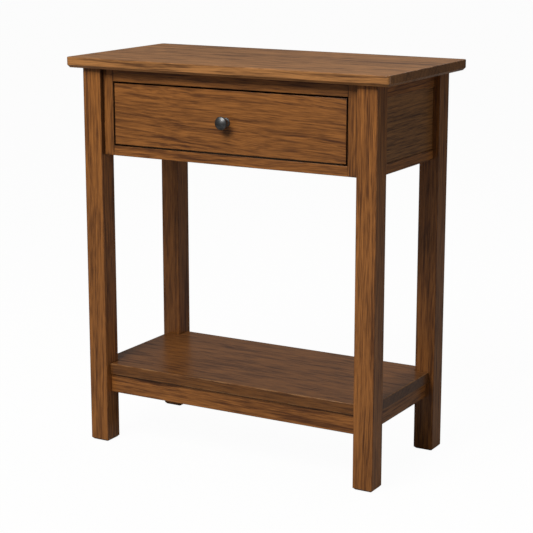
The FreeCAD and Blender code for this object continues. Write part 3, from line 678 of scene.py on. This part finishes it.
# a near black line along each board's arrises: stain in the joints, and painted shade where it runs beside a
# gap
JOINT_STAIN_AND_SHADE = shade(STAIN_DARK, 0.35)
for node, (run, heart, tone, shut) in BOARDS.items():
    board = eased(node + "_board", node, arris=0.0007)
    # the stiles' band is wider: painted shade beside the drawer gap and the proud leg
    look = {"edge": JOINT_STAIN_AND_SHADE, "reach": 0.0034 if "stile" in node else 0.0018, "shut": shut}
    # the side panels take the greyer colours, painted light for the cool light on their shaded sides, and no
    # dark line
    if "panel" in node:
        look = {"light": SHEEN_GREY_LIGHT, "dark": SHEEN_GREY_DARK, "rings": 0.35, "bands": 0.3}
    board.data.materials.append(timber(node + " timber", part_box(node), run, heart, tone, **look))
    settle(board, "table", [node])

# ------------------------------------------------------------------ runners, guides, kickers, stops, dowels
# Bare pale hardwood that nobody sees with the drawer shut: waxed runners carry the drawer, guides keep
# it straight, kickers stop it tipping and hold the top, and stops and dowels are glued in.

BARE_LIGHT = (0.6, 0.41, 0.22, 1)
BARE_DARK = (0.36, 0.2, 0.085, 1)


def bare_timber(node, run, heart, tone=1.0):
    """Pale wood straight from the plane, with no stain or lacquer."""
    return timber(node + " bare timber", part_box(node), run, heart, tone, BARE_LIGHT, BARE_DARK, ring=0.005,
                  rings=0.45, bands=0.3, gloss=0.55, lacquer=0.0, reach=0.001)


for side, flip in (("left", -1), ("right", 1)):
    for work, run, heart, tone in (
        ("drawer_runner", "Y", (0.05 * flip, 0.03), 1.0),
        ("drawer_guide", "Y", (0.03 * flip, 0.05), 0.92),
        ("drawer_kicker", "Y", (0.06 * flip, -0.03), 1.04),
        ("drawer_stop", "X", (0.04, 0.05 * flip), 0.96),
    ):
        node = f"{work}_{side}"
        strip = eased(node + "_strip", node, arris=0.0008)
        strip.data.materials.append(bare_timber(node, run, heart, tone))
        settle(strip, "table", [node])


def solids_of(node):
    """The lowest and highest corner of each separate solid in a group of like pieces."""
    shape = bmesh.new()
    shape.from_mesh(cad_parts[node].data)
    bmesh.ops.remove_doubles(shape, verts=shape.verts, dist=1e-6)
    left = set(shape.verts)
    boxes = []
    while left:
        island = [left.pop()]
        for vert in island:
            beside = {edge.other_vert(vert) for edge in vert.link_edges} & left
            left -= beside
            island.extend(beside)
        corners = [[getattr(vert.co, axis) for vert in island] for axis in "xyz"]
        boxes.append((Vector(map(min, corners)), Vector(map(max, corners))))
    shape.free()
    return sorted(boxes, key=lambda box: tuple(round(c, 4) for c in box[0]))


def lathe_tree():
    """Turned pieces: an outline (radius along X, length along Z) is spun, slotted and set at each place."""
    tree = bpy.data.node_groups.new("turned piece", "GeometryNodeTree")
    takes = {
        "Outline": "Geometry", "Facets": "Int", "Slotted": "Bool", "Crossed": "Bool", "Slot": "Vector",
        "Slot Level": "Float", "Places": "Object", "Turn": "Rotation", "Finish": "Material",
    }
    for label, kind in takes.items():
        tree.interface.new_socket(name=label, in_out="INPUT", socket_type="NodeSocket" + kind)
    tree.interface.new_socket(name="Pieces", in_out="OUTPUT", socket_type="NodeSocketGeometry")
    take = tree.nodes.new("NodeGroupInput").outputs

    # a grid with one row for each point of the outline is rolled up round the axis, and its ends are closed
    weld = 0.000002
    count = add_node(tree, "GeometryNodeAttributeDomainSize", {0: take["Outline"]}).outputs[0]
    around = maths(tree, "ADD", take["Facets"], 1.0)
    grid = add_node(tree, "GeometryNodeMeshGrid", {"Vertices X": count, "Vertices Y": around}).outputs[0]
    index = add_node(tree, "GeometryNodeInputIndex").outputs[0]
    step = maths(tree, "FLOOR", maths(tree, "DIVIDE", maths(tree, "ADD", index, 0.5), around))
    part = maths(tree, "SUBTRACT", index, maths(tree, "MULTIPLY", step, around))
    angle = maths(tree, "MULTIPLY", maths(tree, "DIVIDE", part, take["Facets"]), 2 * math.pi)
    spot = add_node(tree, "GeometryNodeInputPosition").outputs[0]
    sockets = {"Geometry": take["Outline"], "Value": spot, "Index": step}
    traced = add_node(tree, "GeometryNodeSampleIndex", sockets, data_type="FLOAT_VECTOR").outputs[0]
    outline = add_node(tree, "ShaderNodeSeparateXYZ", {0: traced}).outputs
    x = maths(tree, "MULTIPLY", outline["X"], maths(tree, "COSINE", angle))
    y = maths(tree, "MULTIPLY", outline["X"], maths(tree, "SINE", angle))
    spun = add_node(tree, "ShaderNodeCombineXYZ", {0: x, 1: y, 2: outline["Z"]}).outputs[0]
    skin = add_node(tree, "GeometryNodeSetPosition", {"Geometry": grid, "Position": spun}).outputs[0]
    turned = add_node(tree, "GeometryNodeMergeByDistance", {0: skin, "Distance": weld}).outputs[0]

    # one bar cuts a plain slot, and a second across it a cross
    level = add_node(tree, "ShaderNodeCombineXYZ", {2: take["Slot Level"]}).outputs[0]
    bar = add_node(tree, "GeometryNodeMeshCube", {"Size": take["Slot"]}).outputs[0]
    first = add_node(tree, "GeometryNodeTransform", {"Geometry": bar, "Translation": level}).outputs[0]
    sockets = {"Geometry": bar, "Translation": level, "Rotation": (0, 0, math.pi / 2)}
    second = add_node(tree, "GeometryNodeTransform", sockets).outputs[0]
    settings = {"operation": "DIFFERENCE", "solver": "EXACT"}
    cut = add_node(tree, "GeometryNodeMeshBoolean", {0: turned, 1: first}, **settings).outputs[0]
    crossed = add_node(tree, "GeometryNodeMeshBoolean", {0: cut, 1: second}, **settings).outputs[0]
    head = add_node(tree, "GeometryNodeSwitch", {0: take["Crossed"], 1: cut, 2: crossed}).outputs[0]
    whole = add_node(tree, "GeometryNodeSwitch", {0: take["Slotted"], 1: turned, 2: head}).outputs[0]

    places = add_node(tree, "GeometryNodeObjectInfo", {0: take["Places"]}).outputs["Geometry"]
    sockets = {"Points": places, "Instance": whole, "Rotation": take["Turn"]}
    row = add_node(tree, "GeometryNodeInstanceOnPoints", sockets).outputs[0]
    real = add_node(tree, "GeometryNodeRealizeInstances", {0: row}).outputs[0]
    sockets = {"Geometry": real, "Material": take["Finish"]}
    finished = add_node(tree, "GeometryNodeSetMaterial", sockets).outputs[0]
    feed(tree, tree.nodes.new("NodeGroupOutput").inputs[0], finished)
    return tree


turned_piece = lathe_tree()

# the turn that points a piece's length each way
UP = (0, 0, 0)
DOWN = (math.pi, 0, 0)
FORWARD = (math.pi / 2, 0, 0)
BACKWARD = (-math.pi / 2, 0, 0)
RIGHT = (0, math.pi / 2, 0)


def turn(name, outline, places, direction, finish, facets=32, slot=None, slot_level=0.0, crossed=True):
    """Turned pieces of one outline, pointing one way from each of the places, as one mesh.

    slot is the length, width and twice the depth of a driver's slot, cut at slot_level along the piece.
    """
    no_bar = (0.001, 0.001, 0.001)
    line = bpy.data.meshes.new(name + "_outline")
    line.from_pydata([(r, 0, z) for r, z in outline], [], [])
    points = bpy.data.meshes.new(name + "_places")
    points.from_pydata([tuple(place) for place in places], [], [])
    marks = bpy.data.objects.new(name + "_places", points)
    bpy.context.scene.collection.objects.link(marks)
    piece = grow(name, turned_piece, {
        "Facets": facets,
        "Slotted": slot is not None,
        "Crossed": crossed,
        "Slot": slot or no_bar,
        "Slot Level": slot_level,
        "Places": marks,
        "Turn": direction,
        "Finish": finish,
    }, start=line)
    bpy.data.objects.remove(marks)
    shape = bmesh.new()
    shape.from_mesh(piece.data)
    bmesh.ops.recalc_face_normals(shape, faces=shape.faces)
    shape.to_mesh(piece.data)
    shape.free()
    return piece


boxes = solids_of("face_frame_dowels")
low, high = boxes[0]
radius = (high.z - low.z) / 2
length = high.x - low.x
lead = 0.001
end_r = radius - lead / 2
outline = [(0, 0), (end_r, 0), (radius, lead), (radius, length - lead), (end_r, length), (0, length)]
places = [(low.x, (low.y + high.y) / 2, (low.z + high.z) / 2) for low, high in boxes]
dowel_wood = bare_timber("face_frame_dowels", "X", (0.02, 0.03))
dowels = turn("dowel_pins", outline, places, RIGHT, dowel_wood, facets=24)
settle(dowels, "table", ["face_frame_dowels"])

# ------------------------------------------------------------------ drawer
# The front is one board with a lively figure, stained and set flush with an even gap all round.
# Sides and back are pale birch, dovetailed at all four corners, with a thin plywood bottom in a groove.

# its edges, which face the gap all round, are painted dark as shade in the gap
board = eased("drawer_face", "drawer_front", arris=0.0004)
board.data.materials.append(timber(
    "drawer face timber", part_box("drawer_front"), "X", (0.05, -0.09), 0.88, ring=0.007, wave=0.032,
    rings=0.6, bands=0.4, reach=0.0018, shut="XZ", lean=-0.035,
))
settle(board, "drawer", ["drawer_front"])

BIRCH_LIGHT = (0.66, 0.47, 0.28, 1)
BIRCH_DARK = (0.46, 0.29, 0.14, 1)
for node, run, heart in (
    ("drawer_side_left", "Y", (0.05, 0.05)),
    ("drawer_side_right", "Y", (-0.05, 0.05)),
    ("drawer_back", "X", (-0.05, 0.06)),
):
    board = eased(node + "_board", node, arris=0.0006, shortest=0.03)
    wood = timber(node + " birch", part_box(node), run, heart, 1.0, BIRCH_LIGHT, BIRCH_DARK, ring=0.004,
                  rings=0.35, bands=0.25, gloss=0.5, lacquer=0.1, reach=0.001)
    board.data.materials.append(wood)
    settle(board, "drawer", [node])


def plywood(name, box, plies):
    """Birch plywood: a figured face veneer, and thin plies that alternate along its edges."""
    low, high = box
    wood = timber(name, box, "X", (0.004, 0.07), 1.0, BIRCH_LIGHT, BIRCH_DARK, ring=0.006, wave=0.03,
                  rings=0.3, bands=0.2, gloss=0.48, lacquer=0.05, reach=0.0004)
    tree = wood.node_tree
    shader = next(node for node in tree.nodes if node.type == "BSDF_PRINCIPLED")
    face = shader.inputs["Base Color"].links[0].from_socket
    inside = add_node(tree, "ShaderNodeTexCoord").outputs
    z = add_node(tree, "ShaderNodeSeparateXYZ", {0: inside["Object"]}).outputs["Z"]
    ply = maths(tree, "DIVIDE", maths(tree, "SUBTRACT", z, low.z), (high.z - low.z) / plies)
    crossed = maths(tree, "GREATER_THAN", maths(tree, "MODULO", ply, 2.0), 1.0)
    level = maths(tree, "ABSOLUTE", vector_maths(tree, "DOT_PRODUCT", inside["Normal"], RUN["Z"]))
    on_edge = maths(tree, "MULTIPLY", crossed, span(tree, level, 0.7, 0.4))
    layered = mix_color(tree, maths(tree, "MULTIPLY", on_edge, 0.75), face, shade(BIRCH_DARK, 0.45))
    feed(tree, shader.inputs["Base Color"], layered)
    return wood


panel = eased("drawer_bottom_panel", "drawer_bottom", arris=0.0003, shortest=0.03)
panel.data.materials.append(plywood("birch plywood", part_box("drawer_bottom"), plies=5))
settle(panel, "drawer", ["drawer_bottom"])

# ------------------------------------------------------------------ knob
# A mushroom knob turned in brass and plated dark pewter: a rose, a waisted neck and a domed head.
# Its plating has gone cloudy, and it is held from behind by one machine screw.


def patina_group():
    """Plated metal: cloudy tone, fine grit and dull spots."""
    takes = [
        ("Place", "Vector", (0, 0, 0)),
        ("Cloud Scale", "Float", 200.0),
        ("Bright", "Color", (0.6, 0.6, 0.6, 1)),
        ("Dull", "Color", (0.3, 0.3, 0.3, 1)),
    ]
    gives = [("Color", "Color"), ("Dullness", "Float"), ("Height", "Float")]
    group, take, give = group_tree("plated metal", takes, gives)
    sockets = {"Vector": take["Place"], "Scale": take["Cloud Scale"], "Detail": 4.0, "Roughness": 0.6}
    cloud = add_node(group, "ShaderNodeTexNoise", sockets).outputs["Fac"]
    fine = maths(group, "MULTIPLY", take["Cloud Scale"], 9.0)
    sockets = {"Vector": take["Place"], "Scale": fine, "Detail": 2.0}
    grit = add_node(group, "ShaderNodeTexNoise", sockets).outputs["Fac"]
    dull = maths(group, "ADD", span(group, cloud, 0.35, 0.65, 0.0, 0.75), swing(group, grit, 0.5))
    group.links.new(mix_color(group, dull, take["Bright"], take["Dull"]), give["Color"])
    group.links.new(dull, give["Dullness"])
    group.links.new(grit, give["Height"])
    return group


plated_metal = patina_group()


def metal(name, bright, dull, cloud_scale, smooth, rough):
    """A plated metal whose cloudy spots are rougher than the rest."""
    material, tree = empty_material(name)
    place = add_node(tree, "ShaderNodeTexCoord").outputs["Object"]
    plating = add_node(tree, "ShaderNodeGroup", node_tree=plated_metal)
    for key, value in {"Place": place, "Cloud Scale": cloud_scale, "Bright": bright, "Dull": dull}.items():
        feed(tree, plating.inputs[key], value)
    spread = span(tree, plating.outputs["Dullness"], 0.0, 1.0, smooth, rough)
    sockets = {"Height": plating.outputs["Height"], "Strength": 0.15, "Distance": 0.0002}
    bump = add_node(tree, "ShaderNodeBump", sockets)
    shader = add_node(tree, "ShaderNodeBsdfPrincipled", {
        "Base Color": plating.outputs["Color"],
        "Metallic": 1.0,
        "Roughness": spread,
        "Normal": bump.outputs[0],
    })
    add_node(tree, "ShaderNodeOutputMaterial", {"Surface": shader.outputs[0]})
    return material


def arc(start, through, end, steps):
    """Points along a bowed line from start to end whose middle is pulled to through."""
    pull = [2 * t - (a + b) / 2 for t, a, b in zip(through, start, end)]
    points = []
    for i in range(1, steps + 1):
        t = i / steps
        weights = ((1 - t) ** 2, 2 * t * (1 - t), t * t)
        points.append(tuple(sum(w * c for w, c in zip(weights, trio)) for trio in zip(start, pull, end)))
    return points


low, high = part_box("knob")
reach = high.y - low.y
head_r = (high.x - low.x) / 2
rose_r = 0.0085
rose = 0.002
edge_r = 0.0006
neck_r = 0.00475
rim_r = head_r - 0.0005
rim = 0.0042
head_back = reach - 0.0085

# the points where one curve of the outline hands over to the next, as radius and distance from the drawer
rose_side = (rose_r, rose - edge_r)
rose_corner = (rose_r - 0.0001, rose - 0.0001)
rose_face = (rose_r - edge_r, rose)
waist = (neck_r, 0.0092)
head_under = (head_r - 0.001, head_back)
rim_front = (rim_r, head_back + rim)
outline = [(0, 0), (rose_r, 0)]
outline += arc(rose_side, rose_corner, rose_face, steps=4)
outline += arc(rose_face, (neck_r + 0.0012, 0.0042), waist, steps=12)
outline += arc(waist, (neck_r + 0.0018, head_back - 0.0021), head_under, steps=12)
outline += arc(head_under, (head_r, head_back + rim * 0.45), rim_front, steps=10)

rise = reach - head_back - rim
dome_r = (rim_r ** 2 + rise ** 2) / (2 * rise)
sweep = math.asin(rim_r / dome_r)
dome_steps = 16
for i in range(1, dome_steps + 1):
    lean = sweep * (1 - i / dome_steps)
    outline.append((dome_r * math.sin(lean), reach - dome_r * (1 - math.cos(lean))))

pewter = metal(
    "dark pewter plating", bright=(0.2, 0.207, 0.215, 1), dull=(0.08, 0.083, 0.088, 1), cloud_scale=160.0,
    smooth=0.42, rough=0.56,
)
knob = turn("knob_turned", outline, [(0, high.y, (low.z + high.z) / 2)], FORWARD, pewter, facets=72)
settle(knob, "drawer", ["knob"], crease=50)

# ------------------------------------------------------------------ turn button
# A round-ended wooden catch on one screw at the middle of the drawer back.
# It stands up behind the top rail, so the drawer stays in until it is swung level.

catch = eased("catch", "turn_button", arris=0.0006, shortest=0.0)
catch.data.materials.append(bare_timber("turn_button", "Z", (0.03, 0.02), 0.9))
settle(catch, "turn_button", ["turn_button"])

# ------------------------------------------------------------------ screws, nails and glides
# Zinc-plated steel screws with cross slots hold the top, the guides, the shelf and the drawer bottom.
# Nail-on nylon glides keep the end grain of the feet off the floor.

zinc = metal(
    "zinc plated steel", bright=(0.62, 0.62, 0.58, 1), dull=(0.4, 0.4, 0.36, 1), cloud_scale=350.0,
    smooth=0.28, rough=0.5,
)
slot_width = 0.0009
slot_depth = 0.0012


def countersunk(head_r, shank_r, length):
    """A wood screw from the flat of its head to its tip."""
    rim = 0.0004
    cone = rim + head_r - shank_r
    return [(0, 0), (head_r, 0), (head_r, rim), (shank_r, cone), (shank_r, length - 2 * shank_r), (0, length)]


for node, body, direction, shank_r in (
    ("top_screws", "table", UP, 0.002),
    ("shelf_screws", "table", UP, 0.002),
    ("guide_screws", "table", DOWN, 0.00175),
    ("drawer_bottom_screws", "drawer", UP, 0.0015),
):
    boxes = solids_of(node)
    low, high = boxes[0]
    head_r = (high.x - low.x) / 2
    length = high.z - low.z
    places = [(low.x + head_r, low.y + head_r, low.z if direction == UP else high.z) for low, high in boxes]
    slot = (head_r * 1.1, slot_width, slot_depth * 2)
    outline = countersunk(head_r, shank_r, length)
    name = node.replace("screws", "wood_screws")
    screws = turn(name, outline, places, direction, zinc, facets=24, slot=slot)
    settle(screws, body, [node], crease=30)


def round_head(head_r, head_h, shank_r, length):
    """A machine or round-head screw, from the crown of its head, with its seat at zero."""
    steps = 6
    turns = [math.pi / 2 * i / steps for i in range(steps + 1)]
    crown = [(head_r * math.sin(t), -head_h * math.cos(t)) for t in turns]
    return crown + [(shank_r, 0), (shank_r, length), (0, length)]


low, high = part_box("knob_screw")
head_h = high.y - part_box("drawer_front")[1].y
seat = high.y - head_h
outline = round_head((high.x - low.x) / 2, head_h, 0.002, seat - low.y)
places = [(0, seat, (low.z + high.z) / 2)]
slot = (0.0042, slot_width, slot_depth * 2)
screw = turn("knob_bolt", outline, places, FORWARD, zinc, slot=slot, slot_level=-head_h)
settle(screw, "drawer", ["knob_screw"], crease=30)

low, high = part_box("turn_button_screw")
head_h = 0.0022
outline = round_head((high.x - low.x) / 2, head_h, 0.002, high.y - low.y - head_h)
places = [(0, low.y + head_h, (low.z + high.z) / 2)]
slot = (high.x - low.x + 0.001, 0.001, 0.002)
screw = turn("catch_screw", outline, places, BACKWARD, zinc, slot=slot, slot_level=-head_h, crossed=False)
settle(screw, "drawer", ["turn_button_screw"], crease=30)

boxes = solids_of("glide_nails")
low, high = boxes[0]
head_r = (high.x - low.x) / 2
length = high.z - low.z
head_h = 0.0006
shank_r = 0.0011
point = 0.002
outline = [(0, 0), (head_r, 0), (head_r, head_h), (shank_r, head_h), (shank_r, length - point), (0, length)]
places = [(low.x + head_r, low.y + head_r, low.z) for low, high in boxes]
nails = turn("glide_pins", outline, places, UP, zinc, facets=20)
settle(nails, "table", ["glide_nails"], crease=30)


def nylon(name):
    """Moulded brown nylon with a fine sandy skin, scuffed where it slides."""
    material, tree = empty_material(name)
    place = add_node(tree, "ShaderNodeTexCoord").outputs["Object"]
    sockets = {"Vector": place, "Scale": 2600.0, "Detail": 2.0}
    skin = add_node(tree, "ShaderNodeTexNoise", sockets).outputs["Fac"]
    sockets = {"Vector": place, "Scale": 320.0, "Detail": 4.0}
    scuff = add_node(tree, "ShaderNodeTexNoise", sockets).outputs["Fac"]
    color = mix_color(tree, span(tree, scuff, 0.45, 0.7), (0.05, 0.032, 0.02, 1), (0.12, 0.09, 0.065, 1))
    rough = span(tree, scuff, 0.3, 0.7, 0.42, 0.68)
    bump = add_node(tree, "ShaderNodeBump", {"Height": skin, "Strength": 0.3, "Distance": 0.0001})
    sockets = {"Base Color": color, "Roughness": rough, "Normal": bump.outputs[0]}
    shader = add_node(tree, "ShaderNodeBsdfPrincipled", sockets)
    add_node(tree, "ShaderNodeOutputMaterial", {"Surface": shader.outputs[0]})
    return material


boxes = solids_of("foot_glides")
low, high = boxes[0]
radius = (high.x - low.x) / 2
thick = high.z - low.z
lead = 0.0005
soft_corner = (radius - lead * 0.3, lead * 0.3)
outline = [(0, 0), (radius - lead, 0), soft_corner, (radius, lead), (radius, thick), (0, thick)]
places = [(low.x + radius, low.y + radius, low.z) for low, high in boxes]
glides = turn("nylon_glides", outline, places, UP, nylon("brown nylon"), facets=48)
settle(glides, "table", ["foot_glides"], crease=50)

# ------------------------------------------------------------------ sizes
# The whole table's box over its finished pieces, in metres.

low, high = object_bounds()
